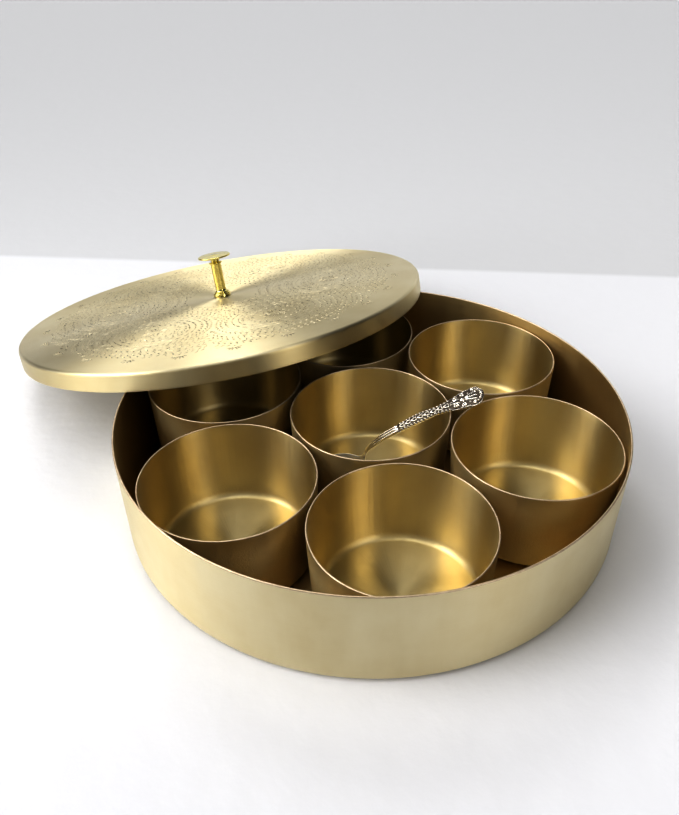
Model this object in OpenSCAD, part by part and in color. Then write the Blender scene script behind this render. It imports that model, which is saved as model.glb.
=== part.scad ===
// Round spice box (masala dabba): a shallow spun-brass box that holds seven loose bowls, a
// lift-off lid with a turned knob, and a small silver spoon. The box stands on z = 0 with its
// axis on the origin. The lid leans behind the box, with its far edge on the table.

/* [Box] */
// Outer diameter of the box at its rim
box_d = 250; // [220:1:280]
// Height of the box
box_h = 50.6; // [45:0.1:60]
// How much narrower the box is at its foot than at its rim, on each side
box_draft = 1.1; // [0.5:0.1:2]
// Outer radius of the corner between the box's wall and its floor
box_corner = 4; // [3:0.5:6]

/* [Bowls] */
// Height of each bowl
bowl_h = 44.2; // [35:0.1:44.6]
// How much smaller a bowl's radius is than a third of the box's inner radius
bowl_slack = 1; // [0.8:0.1:3]
// How much narrower a bowl is at its foot than at its rim, on each side
bowl_draft = 2; // [1:0.1:4]
// Outer radius of the corner between a bowl's wall and its floor
bowl_corner = 4.5; // [3:0.5:7]
// Gap between an outer bowl's rim and the box's wall
bowl_wall_gap = 1.2; // [0.8:0.1:1.4]

/* [Lid] */
// Gap between the box's wall and the inside of the lid's skirt
lid_clearance = 0.5; // [0.3:0.1:1.5]
// Height of the lid's skirt
lid_skirt = 10.5; // [8:0.1:14]
// Outer radius of the corner between the lid's top and its skirt
lid_corner = 2; // [2:0.5:5]
// Rise of the lid's top from its edge to its middle
lid_crown = 1.9; // [1.8:0.1:3]
// Tilt of the leaning lid from level
lid_tilt = 14.2; // [13.8:0.1:14.8]
// Direction from the box's axis to the leaning lid, counted from +X
lid_azimuth = 126.9; // [110:0.1:140]

/* [Knob] */
// Height of the knob above the lid
knob_h = 27.2; // [22:0.1:32]
// Diameter of the knob's top disc
knob_d = 20.4; // [16:0.1:24]
// Diameter of the knob's stem
knob_stem_d = 6.4; // [6:0.1:8]
// Diameter of the knob's foot
knob_foot_d = 10.8; // [9:0.1:13]
// Diameter of the screw that holds the knob
screw_d = 4; // [3:0.5:4.5]

/* [Spoon] */
// Slope of the spoon, as it leans on the middle bowl's rim
spoon_slope = 30; // [28:1:32]
// Roll of the spoon about its own length
spoon_roll = 20; // [10:1:25]
// Direction in which the spoon's handle points, counted from +X
spoon_azimuth = 2; // [0:1:4]
// Width of the spoon's bowl
spoon_bowl_w = 16; // [16:0.5:20]

/* [Sheet metal] */
// Thickness of the sheet in the box and the lid
sheet = 1; // [0.8:0.1:1.2]
// Thickness of the sheet in the bowls
bowl_sheet = 0.9; // [0.6:0.1:1]

/* [Hidden] */

$fn = 128;
arc_steps = 6;

// Box and bowls
box_r = box_d / 2;
box_inner_r = box_r - sheet;
bowl_r = box_inner_r / 3 - bowl_slack;
ring_r = box_inner_r - bowl_r - bowl_wall_gap;
// Directions of the six outer bowls: right, back right, back, back left, left, front
bowl_azimuths = [-17.9, 42.1, 101.3, 160.4, -140.2, -80.5];

// Leaning lid. Its skirt's lower edge stands on the table at the far side, and rests on the
// box's rim at the two places where the lid's circle crosses the box's circle.
lid_r = box_r + lid_clearance + sheet;
crown_steps = 16;
crown_power = 3;
table_gap = 0.2;
rim_gap = 0.25;
seat_r = 7.5;
seat_z = crown_z(seat_r);
lid_edge_z = lid_r * sin(lid_tilt) + table_gap;
lid_run = (box_h + rim_gap - lid_edge_z) / tan(lid_tilt);
lid_out = lid_run + sqrt(pow(box_r, 2) - pow(lid_r - sheet, 2) + pow(lid_run / cos(lid_tilt), 2));

// Knob and its fastening
knob_edge = 1.1;
knob_neck_h = 2.6;
foot_h = 2.4;
screw_r = screw_d / 2;
screw_grip = 12;
screw_head_r = 4;
screw_head_h = 2.2;
washer_r = 6;
washer_t = 1;
thread_gap = 0.05;
hole_gap = 0.25;

// Spoon, in its own frame: X along the handle, Z out of its face, and the origin where the
// handle crosses the bowl's rim. Each row holds x, z, half width, thickness and dish depth.
spoon_lift = 2;
spoon_half = spoon_bowl_w / 2;
spoon_rows = [
    [-84, -1.6, 0.8, 0.8, 0.0],
    [-82, -2.4, 0.55 * spoon_half, 0.9, 0.8],
    [-77, -4.2, 0.9 * spoon_half, 0.9, 2.4],
    [-70, -6.3, spoon_half, 0.9, 3.4],
    [-63, -8.2, 0.76 * spoon_half, 1.0, 2.4],
    [-58, -9.2, 0.35 * spoon_half, 1.4, 0.7],
    [-55.5, -9.2, 1.5, 1.8, 0.0],
    [-51.4, -5.0, 1.2, 2.0, 0.0],
    [-42.8, -1.0, 1.5, 2.2, 0.0],
    [-30, 1.3, 2.2, 2.2, 0.0],
    [-18, 1.9, 3.0, 2.4, 0.0],
    [-5, 0.9, 2.5, 2.2, 0.0],
    [3, 0.0, 4.0, 2.2, 0.0],
    [10, -0.8, 5.4, 2.2, 0.0],
    [15.5, -1.1, 4.4, 1.8, 0.0],
    [17.4, -1.1, 1.4, 1.2, 0.0]
];
spoon_sides = 16;
spoon_steps = 3;

// Points of an arc about a centre, from one angle to another
function arc(centre, r, from, to, steps = arc_steps) = [
    for (i = [0:steps])
        let (a = from + (to - from) * i / steps)
        centre + r * [cos(a), sin(a)]
];

// Catmull-Rom value between rows i and i + 1 of a list, at t from 0 to 1
function blend_rows(rows, i, t) =
    let (
        a = rows[max(i - 1, 0)],
        b = rows[i],
        c = rows[i + 1],
        d = rows[min(i + 2, len(rows) - 1)]
    )
    b + 0.5 * t * ((c - a) + t * ((2 * a - 5 * b + 4 * c - d) + t * (3 * (b - c) + d - a)));

// All the rows of a list with blended rows between them
function smooth_rows(rows, steps) = [
    for (i = [0:len(rows) - 2])
        for (k = [0:steps - 1])
            blend_rows(rows, i, k / steps),
    rows[len(rows) - 1]
];

// Height of the lid's top at a radius, above the plane of its edge
function crown_z(r) = lid_crown * (1 - pow(max(r, seat_r) / (lid_r - lid_corner), crown_power));

// One closed ring of the spoon: an ellipse, bent down in the middle by the dish depth
function spoon_ring(row) = [
    for (i = [0:spoon_sides - 1])
        let (
            a = 360 * i / spoon_sides,
            y = row[2] * cos(a),
            dish = row[4] * (1 - pow(cos(a), 2))
        )
        [row[0], y, row[1] - dish + row[3] / 2 * sin(a)]
];

// A thin-walled round vessel that stands on z = 0
module pressed_vessel(rim_r, draft, h, corner, t) {
    foot_r = rim_r - draft;
    bend = [foot_r - corner, corner];
    lip = t / 2;
    rotate_extrude()
        polygon(concat(
            [[0, 0]],
            arc(bend, corner, -90, 0),
            arc([rim_r - lip, h - lip], lip, 0, 180),
            arc(bend, corner - t, 0, -90),
            [[0, t]]
        ));
}

// A bowl on the box's floor, out from the axis in one direction
module bowl_at(azimuth, distance) {
    rotate([0, 0, azimuth])
        translate([distance, 0, sheet])
            pressed_vessel(bowl_r, bowl_draft, bowl_h, bowl_corner, bowl_sheet);
}

// Puts a piece of the lid in place. Its own z = 0 is the plane of the lid's top edge.
module leaning() {
    rotate([0, 0, lid_azimuth])
        translate([lid_out, 0, lid_edge_z])
            rotate([0, lid_tilt, 0])
                translate([0, 0, lid_skirt])
                    children();
}

module box_pan() {
    color("darkgoldenrod")
        pressed_vessel(box_r, box_draft, box_h, box_corner, sheet);
}

module bowl_centre() {
    color("goldenrod")
        bowl_at(0, 0);
}

module bowl_right() {
    color("goldenrod")
        bowl_at(bowl_azimuths[0], ring_r);
}

module bowl_back_right() {
    color("goldenrod")
        bowl_at(bowl_azimuths[1], ring_r);
}

module bowl_back() {
    color("goldenrod")
        bowl_at(bowl_azimuths[2], ring_r);
}

module bowl_back_left() {
    color("goldenrod")
        bowl_at(bowl_azimuths[3], ring_r);
}

module bowl_left() {
    color("goldenrod")
        bowl_at(bowl_azimuths[4], ring_r);
}

module bowl_front() {
    color("goldenrod")
        bowl_at(bowl_azimuths[5], ring_r);
}

// Crowned disc with a turned-down skirt and a hole for the knob's screw
module lid_plate() {
    bend = [lid_r - lid_corner, -lid_corner];
    radii = [for (i = [1:crown_steps - 1]) seat_r + (lid_r - lid_corner - seat_r) * i / crown_steps];
    hole_r = screw_r + hole_gap;
    color("palegoldenrod")
        leaning()
            rotate_extrude()
                polygon(concat(
                    [[hole_r, seat_z], [seat_r, seat_z]],
                    [for (r = radii) [r, crown_z(r)]],
                    arc(bend, lid_corner, 90, 0),
                    [[lid_r, -lid_skirt], [lid_r - sheet, -lid_skirt]],
                    arc(bend, lid_corner - sheet, 0, 90),
                    [for (i = [len(radii) - 1:-1:0]) [radii[i], crown_z(radii[i]) - sheet]],
                    [[seat_r, seat_z - sheet], [hole_r, seat_z - sheet]]
                ));
}

// Turned knob: a foot, a plain stem, a small collar and a thin flared disc, with a blind hole
module lid_knob() {
    stem_r = knob_stem_d / 2;
    disc_r = knob_d / 2;
    foot_r = knob_foot_d / 2;
    collar_z = knob_h - 2 * knob_edge - knob_neck_h;
    color("gold")
        leaning()
            translate([0, 0, seat_z])
                difference() {
                    rotate_extrude()
                        polygon(concat(
                            [[0, 0], [foot_r - 0.4, 0], [foot_r, 0.4], [foot_r, foot_h - 0.8]],
                            arc([foot_r - 0.8, foot_h - 0.8], 0.8, 0, 90),
                            [[stem_r + 0.9, foot_h + 0.2], [stem_r, foot_h + 1.4]],
                            [[stem_r, collar_z - 1.2], [stem_r + 0.9, collar_z - 0.2]],
                            arc([stem_r + 0.6, collar_z + 0.6], 0.8, -70, 80),
                            [[stem_r + 0.6, collar_z + 1.8], [disc_r - 2.5, knob_h - 2 * knob_edge]],
                            arc([disc_r - knob_edge / 2, knob_h - knob_edge], knob_edge / 2, -70, 90),
                            [[disc_r * 0.5, knob_h - 0.15], [0, knob_h]]
                        ));
                    translate([0, 0, -1])
                        cylinder(h = screw_grip + 1, r = screw_r + thread_gap, $fn = 48);
                }
}

module knob_washer() {
    color("khaki")
        leaning()
            translate([0, 0, seat_z - sheet - washer_t])
                difference() {
                    cylinder(h = washer_t, r = washer_r);
                    translate([0, 0, -1])
                        cylinder(h = washer_t + 2, r = screw_r + hole_gap, $fn = 48);
                }
}

// Slotted pan-head screw, pushed up through the washer and the lid into the knob
module knob_screw() {
    head_top = seat_z - sheet - washer_t;
    slot_w = 1;
    slot_h = 1.1;
    tip_gap = 0.8;
    color("silver")
        leaning()
            translate([0, 0, head_top]) {
                difference() {
                    translate([0, 0, -screw_head_h])
                        cylinder(h = screw_head_h, r1 = screw_head_r - 0.8, r2 = screw_head_r, $fn = 64);
                    translate([-screw_head_r - 1, -slot_w / 2, -screw_head_h - 1])
                        cube([2 * screw_head_r + 2, slot_w, slot_h + 1]);
                }
                cylinder(h = washer_t + sheet + screw_grip - tip_gap, r = screw_r, $fn = 48);
            }
}

// Spoon in one closed skin: a ring of points at each row, and a flat cap at each end
module spoon() {
    rings = [for (row = smooth_rows(spoon_rows, spoon_steps)) spoon_ring(row)];
    sides = spoon_sides;
    last = (len(rings) - 1) * sides;
    points = [for (ring = rings) for (p = ring) p];
    walls = [
        for (k = [0:len(rings) - 2])
            for (i = [0:sides - 1])
                let (a = k * sides + i, b = k * sides + (i + 1) % sides)
                each [[a, b + sides, b], [a, a + sides, b + sides]]
    ];
    caps = [[for (i = [0:sides - 1]) i], [for (i = [sides - 1:-1:0]) last + i]];
    color("silver")
        rotate([0, 0, spoon_azimuth])
            translate([bowl_r, 0, sheet + bowl_h + spoon_lift])
                rotate([0, -spoon_slope, 0])
                    rotate([spoon_roll, 0, 0])
                        polyhedron(points, concat(walls, caps));
}

box_pan();
bowl_centre();
bowl_right();
bowl_back_right();
bowl_back();
bowl_back_left();
bowl_left();
bowl_front();
lid_plate();
lid_knob();
knob_washer();
knob_screw();
spoon();
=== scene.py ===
"""Looks of the spice box: spun brass box, seven bowls, chased lid, turned knob and silver spoon.

Every piece is built in its own frame in millimetres, then put where the CAD frame has it.
"""
import math

import bpy
import numpy as np
from mathutils import Matrix, Vector
from mathutils.geometry import delaunay_2d_cdt


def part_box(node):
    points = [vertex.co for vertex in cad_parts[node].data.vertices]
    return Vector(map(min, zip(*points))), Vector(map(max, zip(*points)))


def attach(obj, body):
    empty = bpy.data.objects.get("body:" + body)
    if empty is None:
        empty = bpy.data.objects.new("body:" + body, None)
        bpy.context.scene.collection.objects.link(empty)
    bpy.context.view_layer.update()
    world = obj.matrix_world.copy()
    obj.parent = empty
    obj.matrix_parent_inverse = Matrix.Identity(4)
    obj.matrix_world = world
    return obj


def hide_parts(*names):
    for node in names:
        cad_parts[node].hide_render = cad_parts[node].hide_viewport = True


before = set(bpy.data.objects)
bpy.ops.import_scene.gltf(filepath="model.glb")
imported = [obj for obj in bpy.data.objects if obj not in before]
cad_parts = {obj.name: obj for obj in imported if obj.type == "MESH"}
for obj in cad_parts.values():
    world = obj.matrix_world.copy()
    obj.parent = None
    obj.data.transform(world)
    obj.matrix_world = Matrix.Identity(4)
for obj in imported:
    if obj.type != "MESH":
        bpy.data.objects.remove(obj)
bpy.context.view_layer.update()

MM = 0.001
TAU = 2 * math.pi

# ---------------------------------------------------------------- sizes, in millimetres

box_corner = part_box("box_pan")[1] / MM
BOX_R = box_corner.x
BOX_H = box_corner.z
BOX_DRAFT = 1.1
BOX_CORNER = 4
SHEET = 1
BOWLS = ["centre", "right", "back_right", "back", "back_left", "left", "front"]
BOWL_DRAFT = 2
BOWL_CORNER = 4.5
BOWL_SHEET = 0.9
BOX_WAVE = 0.15  # waviness of the walls at the rim
BOWL_WAVE = 0.12
BOWL_TURN = 0.9  # turn of each bowl from the one before, so that no two look alike
LID_CLEARANCE = 0.5
LID_R = BOX_R + LID_CLEARANCE + SHEET
LID_SKIRT = 10.5
LID_CORNER = 2
LID_CROWN = 1.9
ROUNDING = 0.03  # keeps the finer lid inside the CAD one
CROWN_POWER = 3
LID_TILT = math.radians(14.2)
LID_AZIMUTH = math.radians(126.9)
TABLE_GAP = 0.2
RIM_GAP = 0.25
SEAT_R = 7.5
HOLE_R = 2.25
KNOB_H = 27.2
KNOB_DISC_R = 10.2
KNOB_STEM_R = 3.2
KNOB_FOOT_R = 5.4
SPOON_SLOPE = math.radians(30)
SPOON_ROLL = math.radians(20)
SPOON_AZIMUTH = math.radians(2)
SPOON_LIFT = 2

LATHE_SIDES = 256
BOWL_SIDES = 192
KNOB_SIDES = 96


def lid_place():
    """Frame of the leaning lid: z = 0 is the plane of its top edge."""
    edge_z = LID_R * math.sin(LID_TILT) + TABLE_GAP
    run = (BOX_H + RIM_GAP - edge_z) / math.tan(LID_TILT)
    reach = BOX_R**2 - (LID_R - SHEET) ** 2 + (run / math.cos(LID_TILT)) ** 2
    return (
        Matrix.Rotation(LID_AZIMUTH, 4, "Z")
        @ Matrix.Translation((run + math.sqrt(reach), 0, edge_z))
        @ Matrix.Rotation(LID_TILT, 4, "Y")
        @ Matrix.Translation((0, 0, LID_SKIRT))
    )


def crown_z(r):
    """Height of the lid's top at a radius, above the plane of its edge."""
    return LID_CROWN * (1 - (max(r, SEAT_R) / (LID_R - LID_CORNER)) ** CROWN_POWER)


LID_PLACE = lid_place()

# ---------------------------------------------------------------- mesh helpers


def arc(x, z, r, start, end, steps):
    """Points of an arc about (x, z), with angles in degrees."""
    angles = np.radians(np.linspace(start, end, steps + 1))
    return [(x + r * math.cos(a), z + r * math.sin(a)) for a in angles]


def line(start, end, steps):
    """Points from start towards end, with end left out."""
    return [tuple(np.array(start) + (np.array(end) - start) * i / steps) for i in range(steps)]


class Shell:
    """Vertices, faces and texture coordinates of one piece, in its own frame."""

    def __init__(self):
        self.points = []
        self.faces = []
        self.uvs = []
        self.normals = {}
        self.slots = []

    def lathe(self, outline, sides, wobble=None, slot_of=None):
        """Turns an outline of (radius, height) points about Z. Points on the axis become poles."""
        outline = np.array(outline, float)
        steps = np.linalg.norm(np.diff(outline, axis=0), axis=1)
        lengths = np.concatenate([[0], np.cumsum(steps)])
        rings = []
        for r, z in outline:
            if r < 1e-6:
                rings.append([len(self.points)])
                self.points.append((0, 0, z))
                continue
            rings.append(range(len(self.points), len(self.points) + sides))
            for i in range(sides):
                a = TAU * i / sides
                rr, zz = (r, z) if wobble is None else wobble(r, z, a)
                self.points.append((rr * math.cos(a), rr * math.sin(a), zz))
        for k in range(len(rings) - 1):
            low, high = rings[k], rings[k + 1]
            v0, v1 = lengths[k] / 100, lengths[k + 1] / 100
            slot = 0 if slot_of is None else slot_of(k)
            for i in range(sides):
                j = (i + 1) % sides
                u0, u1 = i / sides, (i + 1) / sides
                if len(low) == 1:
                    self.add((low[0], high[j], high[i]), ((u0, v0), (u1, v1), (u0, v1)), slot)
                elif len(high) == 1:
                    self.add((low[i], low[j], high[0]), ((u0, v0), (u1, v0), (u0, v1)), slot)
                else:
                    self.add(
                        (low[i], low[j], high[j], high[i]),
                        ((u0, v0), (u1, v0), (u1, v1), (u0, v1)),
                        slot,
                    )
        return rings

    def add(self, face, uv, slot=0, normals=None):
        if normals is not None:
            self.normals[len(self.faces)] = normals
        self.faces.append(face)
        self.uvs.append(uv)
        self.slots.append(slot)

    def build(self, name, place, materials, extra=None):
        """Makes the Blender object, with its points in the row frame in metres."""
        local = np.array(self.points, float)
        m = np.array(place)
        world = (local @ m[:3, :3].T + m[:3, 3]) * MM
        mesh = bpy.data.meshes.new(name)
        mesh.from_pydata(world.tolist(), [], [tuple(f) for f in self.faces])
        mesh.attributes.new("local", "FLOAT_VECTOR", "POINT").data.foreach_set(
            "vector", local.astype(np.float32).ravel()
        )
        for key, values in (extra or {}).items():
            mesh.attributes.new(key, "FLOAT", "POINT").data.foreach_set(
                "value", np.asarray(values, np.float32)
            )
        layer = mesh.uv_layers.new(name="UVMap")
        corners = [corner for uv in self.uvs for corner in uv]
        layer.data.foreach_set("uv", np.array(corners, np.float32).ravel())
        for material in materials:
            mesh.materials.append(material)
        mesh.polygons.foreach_set("material_index", self.slots)
        mesh.shade_smooth()
        if self.normals:
            turn = m[:3, :3]
            loops = []
            for i, face in enumerate(self.faces):
                if i in self.normals:
                    loops += [tuple(turn @ n) for n in self.normals[i]]
                else:
                    loops += [(0, 0, 0)] * len(face)
            mesh.normals_split_custom_set(loops)
        mesh.validate()
        obj = bpy.data.objects.new(name, mesh)
        bpy.context.scene.collection.objects.link(obj)
        return obj


def fit(obj, body, slot, *nodes):
    """Ties a piece to its body and hides the CAD nodes it replaces. slot is not used."""
    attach(obj, body)
    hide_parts(*nodes)


# ---------------------------------------------------------------- material helpers


class Nodes:
    """Short calls for building one material's node tree."""

    def __init__(self, name):
        self.material = bpy.data.materials.new(name)
        self.material.use_nodes = True
        self.tree = self.material.node_tree
        self.tree.nodes.clear()

    def add(self, kind, inputs=None, **settings):
        made = self.tree.nodes.new(kind)
        for key, value in settings.items():
            setattr(made, key, value)
        for key, value in (inputs or {}).items():
            socket = made.inputs[key]
            if isinstance(value, bpy.types.NodeSocket):
                self.tree.links.new(value, socket)
            else:
                socket.default_value = value
        return made

    def math(self, operation, a, b=0.0):
        return self.add("ShaderNodeMath", {0: a, 1: b}, operation=operation).outputs[0]

    def combine(self, x, y, z):
        return self.add("ShaderNodeCombineXYZ", {0: x, 1: y, 2: z}).outputs[0]

    def noise(self, vector, scale=1.0, detail=2.0, roughness=0.5):
        values = {"Vector": vector, "Scale": scale, "Detail": detail, "Roughness": roughness}
        return self.add("ShaderNodeTexNoise", values).outputs["Fac"]

    def remap(self, value, low, high, to_low=0.0, to_high=1.0):
        values = {"Value": value, "From Min": low, "From Max": high}
        values |= {"To Min": to_low, "To Max": to_high}
        return self.add("ShaderNodeMapRange", values).outputs["Result"]

    def mix(self, factor, a, b):
        made = self.add("ShaderNodeMix", data_type="RGBA")
        for key, value in ((0, factor), (6, a), (7, b)):
            if isinstance(value, bpy.types.NodeSocket):
                self.tree.links.new(value, made.inputs[key])
            else:
                made.inputs[key].default_value = value
        return made.outputs[2]

    def bump(self, height, distance, normal=None):
        values = {"Height": height, "Distance": distance, "Strength": 1.0}
        if normal is not None:
            values["Normal"] = normal
        return self.add("ShaderNodeBump", values).outputs["Normal"]

    def finish(self, **inputs):
        named = {key.replace("_", " "): value for key, value in inputs.items()}
        shader = self.add("ShaderNodeBsdfPrincipled", named)
        self.add("ShaderNodeOutputMaterial", {"Surface": shader.outputs[0]})
        return self.material


def turned(nodes, around, along):
    """Coordinates that wrap round a lathe's axis without a seam: features get longer round the
    axis as around gets smaller, and finer along the profile as along gets larger."""
    place = nodes.add("ShaderNodeAttribute", attribute_name="local")
    parts = nodes.add("ShaderNodeSeparateXYZ", {0: place.outputs["Vector"]})
    x, y, z = parts.outputs
    square = nodes.math("ADD", nodes.math("MULTIPLY", x, x), nodes.math("MULTIPLY", y, y))
    radius = nodes.math("SQRT", square)
    safe = nodes.math("MAXIMUM", radius, 0.01)
    return nodes.combine(
        nodes.math("MULTIPLY", nodes.math("DIVIDE", x, safe), around),
        nodes.math("MULTIPLY", nodes.math("DIVIDE", y, safe), around),
        nodes.math("MULTIPLY", nodes.math("ADD", radius, z), along),
    )


def brushed_brass(
    name, light, deep, roughness, anisotropy, streaks=0.0, grain=0.006, frost=None, rings=0.01
):
    """Satin brass, brushed round the lathe's axis. streaks, grain and rings are bump heights in
    millimetres of the waviness round the axis, the grain and the turning lines. frost is a coarser
    grain: its height, the heights above the foot between which it fades out, and how much rougher
    it is than the rest."""
    n = Nodes(name)
    place = n.add("ShaderNodeAttribute", attribute_name="local").outputs["Vector"]
    ring = n.noise(turned(n, 3.0, 2.2), detail=4.0, roughness=0.65)
    streak = n.noise(turned(n, 26.0, 0.03), detail=3.0, roughness=0.6)
    fine = n.noise(place, scale=2.6, detail=3.0, roughness=0.6)
    cloud = n.noise(place, scale=0.035, detail=3.0)
    colour = n.mix(n.remap(cloud, 0.35, 0.65), light, deep)
    worn = n.remap(n.math("ADD", ring, fine), 0.7, 1.3, -0.04, 0.05)
    clouded = n.remap(cloud, 0.3, 0.7, roughness - 0.02, roughness + 0.03)
    rough = n.math("ADD", clouded, worn)
    if streaks:
        rough = n.math("ADD", rough, n.remap(streak, 0.35, 0.65, -0.025, 0.025))
    normal = n.bump(ring, rings * MM)
    normal = n.bump(streak, streaks * MM, normal)
    normal = n.bump(fine, grain * MM, normal)
    if frost:
        height, full, gone, dulls = frost
        z = n.add("ShaderNodeSeparateXYZ", {0: place}).outputs[2]
        frosted = n.math("MULTIPLY", n.remap(z, full, gone, 1.0, 0.0), n.remap(z, 1.0, 2.0))
        speckle = n.noise(place, scale=1.1, detail=2.0, roughness=0.7)
        normal = n.bump(n.math("MULTIPLY", speckle, frosted), height * MM, normal)
        rough = n.math("ADD", rough, n.math("MULTIPLY", frosted, dulls))
    tangent = n.add("ShaderNodeTangent", direction_type="UV_MAP", uv_map="UVMap").outputs[0]
    return n.finish(
        Base_Color=colour,
        Metallic=1.0,
        Roughness=rough,
        Normal=normal,
        Anisotropic=anisotropy,
        Anisotropic_Rotation=0.25,
        Tangent=tangent,
    )


def polished(name, light, deep, roughness, scratches):
    """Polished metal with fine handling marks."""
    n = Nodes(name)
    place = n.add("ShaderNodeAttribute", attribute_name="local").outputs["Vector"]
    cloud = n.noise(place, scale=0.3, detail=3.0)
    marks = n.noise(turned(n, 2.0, 5.0), detail=3.0)
    normal = n.bump(marks, scratches * MM)
    return n.finish(
        Base_Color=n.mix(n.remap(cloud, 0.35, 0.65), light, deep),
        Metallic=1.0,
        Roughness=n.remap(marks, 0.3, 0.7, roughness * 0.75, roughness * 1.3),
        Normal=normal,
    )


def aged_silver():
    """Silver with dark tarnish in the hollows of its relief."""
    n = Nodes("aged_silver")
    place = n.add("ShaderNodeAttribute", attribute_name="local").outputs["Vector"]
    relief = n.add("ShaderNodeAttribute", attribute_name="relief").outputs["Fac"]
    specks = n.noise(place, scale=1.4, detail=4.0)
    level = n.math("ADD", relief, n.remap(specks, 0.3, 0.7, -0.14, 0.14))
    bright = n.remap(level, 0.1, 0.5)
    along = n.add("ShaderNodeSeparateXYZ", {0: place}).outputs[0]
    dulled = n.remap(along, -62.0, -50.0, 0.25, 0.0)
    return n.finish(
        Base_Color=n.mix(bright, (0.12, 0.10, 0.08, 1), (0.86, 0.82, 0.75, 1)),
        Metallic=1.0,
        Roughness=n.math("ADD", n.remap(bright, 0.0, 1.0, 0.42, 0.2), dulled),
        Normal=n.bump(specks, 0.03 * MM),
    )


def plain_metal(name, light, deep):
    """Plain drawn metal, for the hidden parts that keep their CAD shape."""
    n = Nodes(name)
    place = n.add("ShaderNodeTexCoord").outputs["Object"]
    cloud = n.noise(place, scale=900.0, detail=3.0)
    return n.finish(
        Base_Color=n.mix(cloud, light, deep),
        Metallic=1.0,
        Roughness=n.remap(cloud, 0.3, 0.7, 0.25, 0.4),
        Normal=n.bump(cloud, 0.01 * MM),
    )


STRAW = (0.80, 0.73, 0.53, 1)
STRAW_DEEP = (0.77, 0.69, 0.48, 1)
AMBER = (0.77, 0.67, 0.42, 1)
AMBER_DEEP = (0.73, 0.62, 0.36, 1)
# Painted reflection: the skirt is the same brass sheet as the lid's top, given a browner tone for the
# brown-gold that the bowls and the box's dark inside reflect into it.
SKIRT_PAINTED_REFLECTION = (0.79, 0.70, 0.46, 1)
SKIRT_PAINTED_REFLECTION_DEEP = (0.75, 0.65, 0.40, 1)
BROWN_BRASS = (0.76, 0.61, 0.33, 1)
BROWN_BRASS_DEEP = (0.70, 0.54, 0.27, 1)
LID_BRASS = brushed_brass("lid_satin", STRAW, STRAW_DEEP, 0.44, 0.88, grain=0.010)
SKIRT_BRASS_PAINTED_REFLECTION = brushed_brass("lid_skirt_satin_painted_reflection", SKIRT_PAINTED_REFLECTION, SKIRT_PAINTED_REFLECTION_DEEP, 0.43, 0.92)
BOX_BRASS = brushed_brass("box_satin", STRAW, STRAW_DEEP, 0.45, 0.75, streaks=0.02, rings=0.025)
# Painted shade: the box's inside is the same spun brass as its outside, given a browner, deeper tone
# for the shade within it.
BOX_INSIDE_PAINTED_SHADE = brushed_brass("box_inside_painted_shade", BROWN_BRASS, BROWN_BRASS_DEEP, 0.42, 0.75, streaks=0.03)
BOWL_BRASS = brushed_brass(
    "bowl_satin", AMBER, AMBER_DEEP, 0.36, 0.87, streaks=0.06, grain=0.005, frost=(0.12, 5, 9, 0.06)
)
BOWL_OUTSIDE = brushed_brass(
    "bowl_frosted", AMBER, BROWN_BRASS, 0.46, 0.6, streaks=0.05, grain=0.03, frost=(0.20, 34, 42, 0.10)
)
GROOVE_BRASS = polished("chisel_cut", (0.82, 0.75, 0.56, 1), (0.62, 0.54, 0.37, 1), 0.28, 0.006)
CUT_EDGE = polished("cut_edge", (0.72, 0.61, 0.46, 1), (0.62, 0.51, 0.37, 1), 0.44, 0.004)
KNOB_BRASS = polished("knob_polished", (0.84, 0.76, 0.38, 1), (0.78, 0.69, 0.31, 1), 0.15, 0.004)
SILVER = aged_silver()
STEEL = plain_metal("plated_steel", (0.62, 0.61, 0.56, 1), (0.48, 0.47, 0.43, 1))
WASHER_BRASS = plain_metal("washer_brass", (0.74, 0.62, 0.38, 1), (0.60, 0.48, 0.27, 1))

# ---------------------------------------------------------------- box and bowls


def vessel_outline(rim_r, draft, height, corner, t):
    """Outline of a thin pressed vessel: bottom, corner, outer wall, rolled lip, inner wall, floor.
    Returns it with the places where the lip starts and ends, and where the inner wall starts."""
    foot_r = rim_r - draft
    lip = t / 2
    slope = math.degrees(math.atan2(draft, height - corner))
    outer_end = (rim_r - lip + lip * math.cos(math.radians(-slope)), height - lip)
    under = line((0, 0), (foot_r - corner, 0), 10)
    outside = arc(foot_r - corner, corner, corner, -90, -slope, 8)
    wall = line(outside[-1], outer_end, 12)[1:]
    rim = arc(rim_r - lip, height - lip, lip, -slope, 180 - slope, 8)
    inner = arc(foot_r - corner, corner, corner - t, -slope, -90, 8)
    inside = line(rim[-1], inner[0], 12)[1:]
    floor = line((foot_r - corner, t), (0, t), 10)[1:]
    outline = under + outside + wall + rim + inside + inner + floor + [(0, t)]
    lip_from = len(under + outside + wall)
    return outline, lip_from, lip_from + len(rim) - 1


def hand_wobble(amount, phase, rim_z):
    """Slight inward waviness that hand finishing leaves in a wall, strongest at the rim."""

    def wobble(r, z, a):
        wave = 1 + math.sin(2 * a + phase) + 0.5 * math.sin(3 * a + 2.1 * phase)
        return r - amount * wave / 2.5 * max(z, 0) / rim_z, z

    return wobble


def make_box():
    outline, lip_from, lip_to = vessel_outline(BOX_R, BOX_DRAFT, BOX_H, BOX_CORNER, SHEET)
    shell = Shell()
    shell.lathe(
        outline,
        LATHE_SIDES,
        hand_wobble(BOX_WAVE, 0.7, BOX_H),
        lambda k: 1 if lip_from <= k < lip_to else (2 if k >= lip_to else 0),
    )
    # The inside of the box takes the brass with painted shade.
    materials = [BOX_BRASS, CUT_EDGE, BOX_INSIDE_PAINTED_SHADE]
    fit(shell.build("box", Matrix(), materials), "box", "box_brass", "box_pan")


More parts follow.
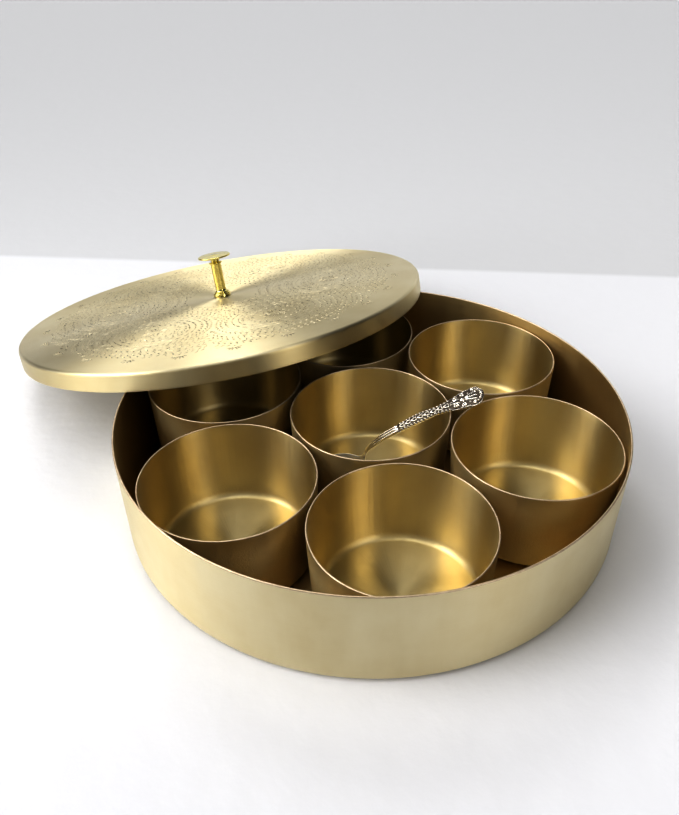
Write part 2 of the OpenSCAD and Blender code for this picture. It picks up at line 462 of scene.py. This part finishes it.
def make_bowl(place_name, index):
    node = "bowl_" + place_name
    low, high = (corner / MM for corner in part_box(node))
    centre = (low + high) / 2
    rim_r = (high.x - low.x) / 2
    height = high.z - low.z
    outline, lip_from, lip_to = vessel_outline(rim_r, BOWL_DRAFT, height, BOWL_CORNER, BOWL_SHEET)
    shell = Shell()
    shell.lathe(
        outline,
        BOWL_SIDES,
        hand_wobble(BOWL_WAVE, 1.3 * index, height),
        lambda k: 1 if lip_from <= k < lip_to else (2 if k < lip_from else 0),
    )
    turn = Matrix.Rotation(BOWL_TURN * index, 4, "Z")
    place = Matrix.Translation((centre.x, centre.y, low.z)) @ turn
    obj = shell.build(node + "_look", place, [BOWL_BRASS, CUT_EDGE, BOWL_OUTSIDE])
    fit(obj, node, "bowl_brass", node)


# ---------------------------------------------------------------- lid

ENGRAVED_FROM = 20
ENGRAVED_TO = 117
GROOVE_DEPTH = 0.3


def crown_normal(x, y):
    """Unit normal of the lid's crowned top."""
    r = math.hypot(x, y)
    if r <= SEAT_R:
        return np.array([0.0, 0.0, 1.0])
    edge = LID_R - LID_CORNER
    slope = LID_CROWN * CROWN_POWER * r ** (CROWN_POWER - 1) / edge**CROWN_POWER
    normal = np.array([slope * x / r, slope * y / r, 1.0])
    return normal / np.linalg.norm(normal)


class Chasing:
    """Chisel strokes cut into the lid's top. Each stroke is a spine with a width at each point."""

    def __init__(self):
        self.strokes = []

    def stroke(self, spine, width):
        self.strokes.append((np.array(spine, float), width))

    def dash(self, x, y, angle, length, width, bend=0.0):
        """A leaf-shaped stroke about (x, y), bowed sideways by bend."""
        t = np.array([-0.5, -0.17, 0.17, 0.5]) * length
        side = bend * (1 - (2 * t / length) ** 2)
        c, s = math.cos(angle), math.sin(angle)
        self.stroke([(x + c * a - s * b, y + s * a + c * b) for a, b in zip(t, side)], width)

    def outlines(self):
        """Points, edges and faces for the triangulation, and the depth of each point."""
        points, depths, edges, faces = [], [], [], []
        for spine, width in self.strokes:
            along = np.gradient(spine, axis=0)
            along /= np.linalg.norm(along, axis=1)[:, None]
            side = np.stack([-along[:, 1], along[:, 0]], 1)
            count = len(spine)
            taper = np.sin(np.pi * np.arange(count) / (count - 1)) ** 0.6
            left = spine + side * (width / 2 * taper)[:, None]
            right = spine - side * (width / 2 * taper)[:, None]
            start = len(points)
            points += [tuple(spine[0])] + [tuple(p) for p in left[1:-1]]
            points += [tuple(spine[-1])] + [tuple(p) for p in right[-2:0:-1]]
            ring = list(range(start, len(points)))
            depths += [0.0] * len(ring)
            first = len(points)
            points += [tuple(p) for p in spine[1:-1]]
            depths += list(taper[1:-1])
            middle = [ring[0], *range(first, len(points)), ring[count - 1]]
            edges += [(ring[i], ring[(i + 1) % len(ring)]) for i in range(len(ring))]
            edges += [(middle[i], middle[i + 1]) for i in range(len(middle) - 1)]
            faces.append(ring[::-1])
        return points, depths, edges, faces


MEDALLIONS = 6
MEDALLION_R = 69
OVAL_OUT = 21
OVAL_ALONG = 25
DASH_STEP = 3.6
DASH_ROWS = 25
FIRST_ROW = 1.14  # scale of the first row of dashes outside a medallion's border
ROW_STEP = 0.125
PLAIN_EDGE = 10  # width left for the sprigs inside the engraving's outer edge
SPRIGS = 4 * MEDALLIONS


def medallion_scale(x, y):
    """How far a point is from the nearest medallion's middle, as a multiple of its border."""
    share = TAU / MEDALLIONS
    r, a = math.hypot(x, y), math.atan2(y, x)
    turn = (a + share / 2) % share - share / 2
    return math.hypot((r * math.cos(turn) - MEDALLION_R) / OVAL_OUT, r * math.sin(turn) / OVAL_ALONG)


def dash_rows(chasing, rng, scale, at, kept):
    """Staggered slanting dashes round an oval of the given scale, wherever kept says so."""
    count = int(math.pi * scale * (OVAL_OUT + OVAL_ALONG) / DASH_STEP)
    row = round(scale * 10)
    for j in range(count):
        t = TAU * (j + 0.5 * (row % 2)) / count
        x, y = at(OVAL_OUT * scale * math.cos(t), OVAL_ALONG * scale * math.sin(t))
        ahead = at(OVAL_OUT * scale * math.cos(t + 0.01), OVAL_ALONG * scale * math.sin(t + 0.01))
        if not kept(x, y):
            continue
        tangent = math.atan2(ahead[1] - y, ahead[0] - x)
        slant = (0.6 if row % 2 else -0.6) + 0.15 * rng.standard_normal()
        length = 3.1 + 0.6 * rng.random()
        width = 0.8 + 0.15 * rng.random()
        chasing.dash(x, y, tangent + slant, length, width, 0.4 * (-1) ** row)


def chased_pattern():
    """Six oval medallions, rows of dashes that follow them, and leaves along the outer edge."""
    chasing = Chasing()
    rng = np.random.default_rng(7)
    for k in range(MEDALLIONS):
        azimuth = TAU * k / MEDALLIONS
        c, s = math.cos(azimuth), math.sin(azimuth)

        def at(x, y, c=c, s=s):
            return (c * (MEDALLION_R + x) - s * y, s * (MEDALLION_R + x) + c * y)

        for step in range(DASH_ROWS):
            scale = FIRST_ROW + ROW_STEP * step

            def kept(x, y, scale=scale):
                in_field = ENGRAVED_FROM + 3 < math.hypot(x, y) < ENGRAVED_TO - PLAIN_EDGE
                return in_field and abs(medallion_scale(x, y) - scale) < 0.02

            dash_rows(chasing, rng, scale, at, kept)
        for scale in (0.74, 0.63, 0.52):
            dash_rows(chasing, rng, scale, at, lambda x, y: True)
        add_border(chasing, at)
        add_flower(chasing, azimuth, at)
    for k in range(SPRIGS):
        add_sprig(chasing, TAU * (k + 0.5) / SPRIGS, ENGRAVED_TO - 8)
    return chasing


def add_border(chasing, at):
    """The plain band of a medallion, between two broken lines."""
    for scale, arcs in ((1.0, 24), (0.85, 20)):
        for i in range(arcs):
            turns = TAU * (i + np.array([0.04, 0.3, 0.5, 0.7, 0.96])) / arcs
            out, along = OVAL_OUT * scale * np.cos(turns), OVAL_ALONG * scale * np.sin(turns)
            chasing.stroke([at(x, y) for x, y in zip(out, along)], 0.8)


def add_flower(chasing, azimuth, at):
    """Eight petals with a short dash between each pair."""
    petals = 8
    for i in range(petals):
        t = TAU * i / petals
        c, s = math.cos(t), math.sin(t)
        for side in (-1, 1):
            spine = [(2.0, 0), (3.8, 1.1 * side), (6.2, 1.1 * side), (8.0, 0.15 * side)]
            chasing.stroke([at(x * c - y * s, x * s + y * c) for x, y in spine], 0.8)
        x, y = at(8.2 * math.cos(t + math.pi / petals), 8.2 * math.sin(t + math.pi / petals))
        chasing.dash(x, y, azimuth + t + math.pi / petals, 1.8, 0.8)
    x, y = at(0, 0)
    chasing.dash(x, y, azimuth, 1.6, 1.1)


def add_sprig(chasing, azimuth, r):
    """A small spray of leaves at the outer edge."""
    reach = 2.8
    leaves = ((-1.3, 3.4), (-0.75, 4.2), (-0.25, 4.8), (0.25, 4.8), (0.75, 4.2), (1.3, 3.4))
    for turn, length in leaves:
        x = r * math.cos(azimuth) + reach * math.cos(azimuth + turn)
        y = r * math.sin(azimuth) + reach * math.sin(azimuth + turn)
        chasing.dash(x, y, azimuth + turn, length, 0.95, 0.3 * math.copysign(1, turn))


def ring_points(r, sides):
    return [(r * math.cos(TAU * i / sides), r * math.sin(TAU * i / sides)) for i in range(sides)]


def polar_uv(points):
    """Texture coordinates round the axis for one face, without a jump at the seam."""
    turns = [math.atan2(y, x) / TAU for x, y in points]
    fixed = [t + round(turns[0] - t) for t in turns]
    return [(t, math.hypot(x, y) / 100) for t, (x, y) in zip(fixed, points)]


def chased_top(shell, inner_ring, outer_ring):
    """Triangulates the engraved part of the top between two rings of the shell."""
    points, depths, edges, faces = chased_pattern().outlines()
    for ring in (inner_ring, outer_ring):
        start = len(points)
        points += [shell.points[i][:2] for i in ring]
        depths += [0.0] * len(ring)
        edges += [(start + i, start + (i + 1) % len(ring)) for i in range(len(ring))]
    for r in range(ENGRAVED_FROM + 2, ENGRAVED_TO, 6):
        points += ring_points(r + 0.37, 40)
        depths += [0.0] * 40
    verts, _, tris, origins, _, tri_origins = delaunay_2d_cdt(
        [Vector(p) for p in points], edges, faces, 0, 1e-5, True
    )
    rings = [*inner_ring, *outer_ring]
    index = {}
    at = {}
    for i, xy in enumerate(verts):
        deepest = max((depths[o] for o in origins[i]), default=0.0)
        x, y = xy
        r = math.hypot(x, y)
        at[i] = (x, y, crown_z(r) - GROOVE_DEPTH * deepest)
    known = {tuple(np.round(shell.points[i][:2], 4)): i for i in rings}
    for i, p in at.items():
        key = (round(p[0], 4), round(p[1], 4))
        if key in known:
            index[i] = known[key]
        else:
            index[i] = len(shell.points)
            shell.points.append(p)
    hole = ENGRAVED_FROM * math.cos(math.pi / LATHE_SIDES) - 1e-3
    for tri, origin in zip(tris, tri_origins):
        corners = np.array([at[i] for i in tri])
        middle = corners.mean(0)
        if math.hypot(middle[0], middle[1]) < hole:
            continue
        flat = np.cross(corners[1] - corners[0], corners[2] - corners[0])
        if flat[2] < 0:
            tri = tri[::-1]
            corners = corners[::-1]
            flat = -flat
        size = np.linalg.norm(flat)
        cut = bool(origin) and size > 1e-9
        normals = [flat / size] * 3 if cut else [crown_normal(x, y) for x, y, z in corners]
        shell.add([index[i] for i in tri], polar_uv([c[:2] for c in corners]), int(cut), normals)


def make_lid():
    shell = Shell()
    skirt_r = LID_R - ROUNDING
    edge = skirt_r - LID_CORNER
    lip = SHEET / 2
    steps = 24
    border = [ENGRAVED_TO + (edge - ENGRAVED_TO) * i / 6 for i in range(6)]
    outer = [(r, crown_z(r)) for r in border]
    outer += arc(edge, -LID_CORNER, LID_CORNER, 90, 0, 10)
    outer += line((skirt_r, -LID_CORNER), (skirt_r, lip - LID_SKIRT), 6)[1:]
    outer += arc(skirt_r - lip, lip - LID_SKIRT, lip, 0, -180, 8)
    outer += line((skirt_r - SHEET, lip - LID_SKIRT), (skirt_r - SHEET, -LID_CORNER), 6)[1:]
    outer += arc(edge, -LID_CORNER, LID_CORNER - SHEET, 0, 90, 8)
    inner_radii = [edge + (SEAT_R - edge) * i / steps for i in range(1, steps + 1)]
    outer += [(r, crown_z(r) - SHEET) for r in inner_radii]
    seat_z = crown_z(SEAT_R)
    outer += [(HOLE_R, seat_z - SHEET), (HOLE_R, seat_z), (SEAT_R, seat_z)]
    centre_radii = [SEAT_R + (ENGRAVED_FROM - SEAT_R) * i / 6 for i in range(1, 7)]
    outer += [(r, crown_z(r)) for r in centre_radii]
    outline = outer[::-1]

    # The skirt takes the brass with the painted reflection.
    def on_skirt(k):
        r, z = outline[k]
        return 2 if r > skirt_r - 0.1 and z < -LID_CORNER / 2 else 0

    rings = shell.lathe(outline, LATHE_SIDES, None, on_skirt)
    chased_top(shell, rings[0], rings[-1])
    materials = [LID_BRASS, GROOVE_BRASS, SKIRT_BRASS_PAINTED_REFLECTION]
    fit(shell.build("lid", LID_PLACE, materials), "lid", "lid_brass", "lid_plate")


make_box()
for number, bowl_name in enumerate(BOWLS):
    make_bowl(bowl_name, number)
make_lid()

# ---------------------------------------------------------------- knob


def make_knob():
    foot, stem, disc, top = KNOB_FOOT_R, KNOB_STEM_R, KNOB_DISC_R, KNOB_H
    outline = [(0, 0.05), (foot - 0.5, 0.05)]
    outline += arc(foot - 0.45, 0.5, 0.45, -90, 0, 4)
    outline += [(foot - 0.1, 1.0)]
    outline += arc(foot - 0.85, 1.75, 0.8, -40, 80, 8)
    outline += [(stem + 1.0, 2.6)]
    outline += arc(stem + 0.75, 3.05, 0.45, -80, 80, 6)
    outline += [(stem + 0.25, 3.7), (stem + 0.02, 4.6)]
    outline += line((stem, 5.2), (stem, top - 6.6), 6)
    outline += [(stem, top - 6.6), (stem + 0.12, top - 6.2), (stem + 0.5, top - 5.7)]
    outline += arc(stem + 0.55, top - 5.3, 0.38, -80, 90, 6)
    outline += [(stem - 0.5, top - 4.75), (stem - 0.95, top - 4.35)]
    outline += arc(stem - 1.15, top - 3.45, 0.85, -75, 75, 8)
    outline += [(stem - 0.7, top - 2.45), (stem + 0.6, top - 2.0), (stem + 2.8, top - 1.7)]
    outline += [(disc - 1.2, top - 1.55)]
    outline += arc(disc - 0.5, top - 1.05, 0.5, -100, 80, 10)
    outline += [(disc - 1.3, top - 0.52), (disc - 3.2, top - 0.42), (disc * 0.4, top - 0.3)]
    outline += [(1.2, top - 0.22), (0.8, top - 0.05), (0, top)]
    shell = Shell()
    shell.lathe(outline, KNOB_SIDES)
    place = LID_PLACE @ Matrix.Translation((0, 0, crown_z(SEAT_R)))
    fit(shell.build("knob", place, [KNOB_BRASS]), "lid", "knob_brass", "lid_knob")


make_knob()

# ---------------------------------------------------------------- spoon

# Rows along the spoon, from the bowl's tip to the handle's end: place, height of the middle,
# half width, thickness and depth of the dish. The place is 0 where the handle crosses the rim.
SPOON_ROWS = [
    (-84, -1.6, 0.8, 0.8, 0.0),
    (-82, -2.4, 4.4, 0.9, 0.8),
    (-77, -4.2, 7.2, 0.9, 2.4),
    (-70, -6.3, 8.0, 0.9, 3.4),
    (-63, -8.2, 6.1, 1.0, 2.4),
    (-58, -9.2, 2.9, 1.5, 0.7),
    (-55.5, -9.2, 1.8, 2.0, 0.0),
    (-51.4, -5.0, 1.8, 2.2, 0.0),
    (-42.8, -1.0, 2.1, 2.2, 0.0),
    (-30, 1.3, 2.4, 2.2, 0.0),
    (-18, 1.9, 3.0, 2.4, 0.0),
    (-5, 0.9, 2.7, 2.2, 0.0),
    (3, 0.0, 4.2, 2.2, 0.0),
    (10, -0.8, 5.4, 2.2, 0.0),
    (15.5, -1.1, 4.2, 1.8, 0.0),
    (17.4, -1.1, 1.6, 1.2, 0.0),
]
RELIEF_FROM = -29
RELIEF_DEPTH = 0.35
FLUTES_FROM = -47


def row_values(places):
    """Smooth values of every column of SPOON_ROWS at the given places."""
    rows = np.array(SPOON_ROWS, float)
    x = rows[:, 0]
    slopes = np.gradient(rows[:, 1:], x, axis=0)
    i = np.clip(np.searchsorted(x, places, side="right") - 1, 0, len(x) - 2)
    h = (x[i + 1] - x[i])[:, None]
    t = ((places - x[i])[:, None]) / h
    a, b = rows[i, 1:], rows[i + 1, 1:]
    da, db = slopes[i] * h, slopes[i + 1] * h
    return a + t * (da + t * (3 * (b - a) - 2 * da - db + t * (2 * (a - b) + da + db)))


class Relief:
    """Height of cast ornament over a grid of places, built up from rounded ridges and beads."""

    def __init__(self, x, y):
        self.x, self.y = x, y
        self.height = np.zeros_like(x)

    def ridge(self, points, width, height):
        points = np.array(points, float)
        near = (
            (self.x > points[:, 0].min() - width)
            & (self.x < points[:, 0].max() + width)
            & (self.y > points[:, 1].min() - width)
            & (self.y < points[:, 1].max() + width)
        )
        px, py = self.x[near], self.y[near]
        nearest = np.full(px.shape, np.inf)
        for (ax, ay), (bx, by) in zip(points[:-1], points[1:]):
            dx, dy = bx - ax, by - ay
            along = np.clip(((px - ax) * dx + (py - ay) * dy) / (dx * dx + dy * dy + 1e-9), 0, 1)
            nearest = np.minimum(nearest, np.hypot(px - ax - along * dx, py - ay - along * dy))
        rise = height * np.sqrt(np.clip(1 - (nearest / width) ** 2, 0, 1))
        self.height[near] = np.maximum(self.height[near], rise)

    def bead(self, x, y, radius, height):
        self.ridge([(x, y), (x + 0.01, y)], radius, height)

    def scroll(self, x, y, small, large, start, sweep, width, height):
        """A spiral ridge that opens from small to large radius."""
        steps = 18
        turns = [start + sweep * i / steps for i in range(steps + 1)]
        reach = [small + (large - small) * i / steps for i in range(steps + 1)]
        spiral = [(x + r * math.cos(a), y + r * math.sin(a)) for r, a in zip(reach, turns)]
        self.ridge(spiral, width, height)


def spoon_relief(x, y):
    """Beaded edge, paired leaves and berries on the handle, and scrolls round a shell on its head."""
    relief = Relief(x, y)
    for k in range(15):
        place = RELIEF_FROM + 1.5 + 1.9 * k
        edge = row_values(np.array([place]))[0][1]
        for side in (-1, 1):
            relief.bead(place, side * (edge - 0.65), 0.72, 0.75)
    for k in range(8):
        place = RELIEF_FROM + 1.0 + 3.5 * k
        for side in (-1, 1):
            leaf = [(place, 0.1 * side), (place + 1.2, 0.75 * side), (place + 2.6, 0.95 * side)]
            relief.ridge(leaf, 0.42, 0.62)
        relief.bead(place + 2.6, 0, 0.5, 0.7)
    relief.bead(6.2, 0, 1.25, 1.0)
    for k in (-1, 0, 1):
        relief.ridge([(8.2, 0.7 * k), (11.0, 1.5 * k), (13.6, 2.2 * k)], 0.5, 0.85)
    for side in (-1, 1):
        relief.scroll(2.6, 2.1 * side, 0.25, 1.45, 0.5, 7.2 * side, 0.42, 0.75)
        relief.scroll(7.0, 3.3 * side, 0.2, 1.35, 2.6, -7.4 * side, 0.42, 0.8)
        relief.scroll(12.2, 4.0 * side, 0.2, 0.95, 1.2, 6.6 * side, 0.36, 0.8)
        relief.ridge([(0.2, 0.5 * side), (2.4, 0.55 * side), (4.6, 1.0 * side)], 0.4, 0.7)
        relief.ridge([(4.4, 4.2 * side), (6.8, 4.75 * side), (9.4, 4.85 * side)], 0.5, 0.7)
        relief.bead(15.3, 2.5 * side, 0.85, 0.95)
        relief.bead(13.9, 3.5 * side, 0.6, 0.8)
        relief.bead(9.9, 2.6 * side, 0.5, 0.7)
    relief.bead(16.3, 0, 1.0, 1.05)
    relief.bead(16.0, 1.35, 0.6, 0.85)
    relief.bead(16.0, -1.35, 0.6, 0.85)
    return relief.height


def smooth_step(value, low, high):
    t = np.clip((value - low) / (high - low), 0, 1)
    return t * t * (3 - 2 * t)


def make_spoon():
    bowl_end, neck_end, head_end = SPOON_ROWS[0][0], -52, SPOON_ROWS[-1][0]
    places = np.concatenate(
        [
            np.arange(bowl_end, neck_end, 0.5),
            np.arange(neck_end, RELIEF_FROM, 0.35),
            np.arange(RELIEF_FROM, head_end, 0.14),
            [head_end],
        ]
    )
    values = row_values(places)
    across = 57
    under = 19
    reach = 0.985 * math.pi / 2
    t_top = np.sin(np.linspace(-reach, reach, across)) / math.sin(reach)
    shell = Shell()
    height, half, thick, dish = (values[:, k][:, None] for k in range(4))
    row = places[:, None]
    ornate = smooth_step(row, RELIEF_FROM, RELIEF_FROM + 2)
    beads = 0.16 * np.abs(np.sin((row - RELIEF_FROM - 0.55) * math.pi / 1.9))
    beads = beads * ornate * (1 - smooth_step(row, 0, 3))
    lobes = 0.3 * np.abs(np.sin((row - 1.0) * math.pi / 3.1)) * smooth_step(row, 1, 4)
    half = half + beads + lobes - 0.2 * ornate
    t = t_top[None, :]
    y = half * t
    x = np.repeat(row, across, 1)
    handle = smooth_step(x, RELIEF_FROM - 1.5, RELIEF_FROM + 0.5)
    carved = spoon_relief(x, y)
    inside = smooth_step(1 - np.abs(t) + 0 * x, 0.0, 0.16)
    crown = np.sqrt(np.clip(1 - np.abs(t) ** 4, 0, 1))
    flute = smooth_step(x, FLUTES_FROM, FLUTES_FROM + 6)
    flute = flute * (1 - smooth_step(x, RELIEF_FROM - 3, RELIEF_FROM))
    groove = 0.28 * flute * np.cos(t * math.pi * 3) * inside
    lift = handle * inside * (carved - RELIEF_DEPTH)
    bend = dish * (1 - t**2)
    top = height - bend + thick / 2 * crown + groove + lift
    tb = np.cos(np.linspace(0, math.pi, under + 2))[1:-1][None, :]
    low = height - dish * (1 - tb**2) - thick / 2 * np.sqrt(1 - tb**2)
    yb = half * tb
    rows, sides = len(places), across + under
    ring_y = np.concatenate([y, yb], 1)
    ring_z = np.concatenate([top, low], 1)
    ring_x = np.repeat(row, sides, 1)
    shell.points = np.stack([ring_x, ring_y, ring_z], 2).reshape(-1, 3).tolist()
    ornament = np.clip((carved - 0.12) / 0.5, 0, 1)
    fluting = 0.62 - 0.4 * smooth_step(-groove, -0.05, 0.2)
    shown = np.where(handle > 0.5, ornament, fluting)
    shown = np.where(np.abs(t) > 0.93, 0.85, shown)
    relief = np.concatenate([shown, np.full((rows, under), 0.75)], 1)
    for k in range(rows - 1):
        for i in range(sides):
            j = (i + 1) % sides
            u0, u1 = i / sides, (i + 1) / sides
            v0, v1 = places[k] / 100, places[k + 1] / 100
            a, b = k * sides, (k + 1) * sides
            shell.add((a + i, b + i, b + j, a + j), ((u0, v0), (u0, v1), (u1, v1), (u1, v0)))
    shell.add(list(range(sides)), [(0, 0)] * sides)
    shell.add(list(range((rows - 1) * sides, rows * sides))[::-1], [(0, 0)] * sides)
    rim_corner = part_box("bowl_centre")[1] / MM
    place = (
        Matrix.Rotation(SPOON_AZIMUTH, 4, "Z")
        @ Matrix.Translation((rim_corner.x, 0, rim_corner.z + SPOON_LIFT))
        @ Matrix.Rotation(-SPOON_SLOPE, 4, "Y")
        @ Matrix.Rotation(SPOON_ROLL, 4, "X")
    )
    obj = shell.build("silver_spoon", place, [SILVER], {"relief": relief.ravel()})
    fit(obj, "spoon", "spoon_silver", "spoon")


make_spoon()

# ---------------------------------------------------------------- stage, light and camera


def aim(obj, location, target):
    obj.location = location
    obj.rotation_mode = "QUATERNION"
    obj.rotation_quaternion = (Vector(target) - Vector(location)).to_track_quat("-Z", "Y")


def area_light(name, azimuth, elevation, distance, width, height, power, colour):
    """A soft rectangular light that faces the box from a direction in degrees."""
    data = bpy.data.lights.new(name, "AREA")
    data.shape = "RECTANGLE"
    data.size = width
    data.size_y = height
    data.energy = power
    data.color = colour
    obj = bpy.data.objects.new(name, data)
    bpy.context.scene.collection.objects.link(obj)
    aim(obj, direction(azimuth, elevation) * distance, (0, 0, 0.03))
    return obj


# The front tone is painted shade: the white floor is made darker towards the camera, where less light
# falls.
FLOOR_FRONT_PAINTED_SHADE = (0.72, 0.72, 0.74, 1)
FLOOR_BACK = (0.84, 0.84, 0.86, 1)
FLOOR_BEYOND = (0.73, 0.73, 0.74, 1)
LINE_AT = 0.265  # where the grey part starts, in metres behind the middle of the box
LINE_SLOPE = 0.06


def make_stage():
    """A plain pale floor, white near the box and light grey beyond a straight line behind it, with
    painted shade darkening the white part towards the camera.
    """
    half = 3.0
    mesh = bpy.data.meshes.new("floor")
    corners = [(-half, -half, 0), (half, -half, 0), (half, half, 0), (-half, half, 0)]
    mesh.from_pydata(corners, [], [(0, 1, 2, 3)])
    n = Nodes("pale_floor")
    place = n.add("ShaderNodeTexCoord").outputs["Object"]
    parts = n.add("ShaderNodeSeparateXYZ", {0: place})
    beyond = n.math("ADD", parts.outputs[1], n.math("MULTIPLY", parts.outputs[0], LINE_SLOPE))
    grey = n.remap(beyond, LINE_AT - 0.003, LINE_AT + 0.003)
    speckle = n.noise(place, scale=60.0, detail=4.0)
    # Painted shade: the floor fades from the darker front tone to the white tone behind it.
    painted_shade_fade = n.remap(parts.outputs[1], -0.2, 0.1)
    shade = n.mix(grey, n.mix(painted_shade_fade, FLOOR_FRONT_PAINTED_SHADE, FLOOR_BACK), FLOOR_BEYOND)
    grain = n.bump(speckle, 0.0004)
    mesh.materials.append(
        n.finish(Base_Color=shade, Roughness=0.8, Specular_IOR_Level=0.2, Normal=grain)
    )
    obj = bpy.data.objects.new("floor", mesh)
    bpy.context.scene.collection.objects.link(obj)


# Light of the room: azimuth, elevation, half angles of the full and the faded part, and radiance.
ROOM_LIGHT = [
    (-170, 40, 8, 26, 6.4),  # tall window on the left
    (-176, 14, 4, 22, 2.6),  # foot of that window
    (88, 16, 24, 54, 1.03),  # wall behind the box
    (113, 45, 3, 11, 7.0),  # small high window behind the box
    (-170, 82, 5, 30, 2.85),  # ceiling
    (-112, 8, 5, 25, 0.6),  # what the window lights up beside the camera
]
ROOM_SHADE = 0.05
BACKDROP = 0.75  # what the camera sees beyond the floor


def direction(azimuth, elevation):
    """Unit vector that points at an azimuth and elevation in degrees."""
    a, e = math.radians(azimuth), math.radians(elevation)
    return Vector((math.cos(a) * math.cos(e), math.sin(a) * math.cos(e), math.sin(e)))


def make_world():
    """A room with soft round patches of light and a dark camera side, seen as a pale backdrop."""
    world = bpy.data.worlds.new("room")
    bpy.context.scene.world = world
    world.use_nodes = True
    tree = world.node_tree
    tree.nodes.clear()
    looking = tree.nodes.new("ShaderNodeTexCoord").outputs["Generated"]
    total = None
    for azimuth, elevation, full, faded, radiance in ROOM_LIGHT:
        toward = tree.nodes.new("ShaderNodeVectorMath")
        toward.operation = "DOT_PRODUCT"
        toward.inputs[1].default_value = direction(azimuth, elevation)
        tree.links.new(looking, toward.inputs[0])
        patch = tree.nodes.new("ShaderNodeMapRange")
        patch.interpolation_type = "SMOOTHSTEP"
        patch.inputs["From Min"].default_value = math.cos(math.radians(faded))
        patch.inputs["From Max"].default_value = math.cos(math.radians(full))
        patch.inputs["To Max"].default_value = radiance
        tree.links.new(toward.outputs["Value"], patch.inputs["Value"])
        summed = tree.nodes.new("ShaderNodeMath")
        summed.inputs[1].default_value = ROOM_SHADE
        tree.links.new(patch.outputs[0], summed.inputs[0])
        if total is not None:
            tree.links.new(total, summed.inputs[1])
        total = summed.outputs[0]
    seen = tree.nodes.new("ShaderNodeMix")
    seen.inputs[3].default_value = BACKDROP
    tree.links.new(tree.nodes.new("ShaderNodeLightPath").outputs["Is Camera Ray"], seen.inputs[0])
    tree.links.new(total, seen.inputs[2])
    background = tree.nodes.new("ShaderNodeBackground")
    tree.links.new(seen.outputs[0], background.inputs["Strength"])
    output = tree.nodes.new("ShaderNodeOutputWorld")
    tree.links.new(background.outputs[0], output.inputs[0])


CAMERA_PLACE = (0, -0.319, 0.2716)
CAMERA_PITCH = math.radians(32.48)
CAMERA_YAW = math.radians(-1.72)
CAMERA_ROLL = math.radians(-0.37)


def make_camera():
    """The camera stands in front of the box and looks down on it."""
    pitch, yaw, roll = CAMERA_PITCH, CAMERA_YAW, CAMERA_ROLL
    ahead = Vector((math.sin(yaw), math.cos(yaw), 0))
    right = Vector((math.cos(yaw), -math.sin(yaw), 0))
    forward = ahead * math.cos(pitch) - Vector((0, 0, math.sin(pitch)))
    up = ahead * math.sin(pitch) + Vector((0, 0, math.cos(pitch)))
    r = right * math.cos(roll) + up * math.sin(roll)
    u = up * math.cos(roll) - right * math.sin(roll)
    data = bpy.data.cameras.new("camera")
    data.sensor_width = 36
    data.lens = 34.44
    data.shift_x = -0.0142
    data.shift_y = -0.0453
    data.clip_start = 0.01
    data.clip_end = 20
    obj = bpy.data.objects.new("camera", data)
    bpy.context.scene.collection.objects.link(obj)
    turn = Matrix((r, u, -forward)).transposed().to_4x4()
    obj.matrix_world = Matrix.Translation(CAMERA_PLACE) @ turn
    bpy.context.scene.camera = obj


make_stage()
make_world()
make_camera()
area_light("lamp_right", -47, 33, 1.0, 0.35, 0.35, 2.2, (1.0, 0.98, 0.95))
floor_light = area_light("floor_light", -150, 12, 0.8, 0.5, 0.2, 3.6, (0.97, 0.98, 1.0))
floor_light.visible_glossy = False  # it brightens the floor under the lid and isn't mirrored

view = bpy.context.scene.view_settings
view.view_transform = "Standard"
view.exposure = 0.12
view.gamma = 0.62

for node, material in (("knob_washer", WASHER_BRASS), ("knob_screw", STEEL)):
    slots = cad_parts[node].data.materials
    slots.clear()
    slots.append(material)
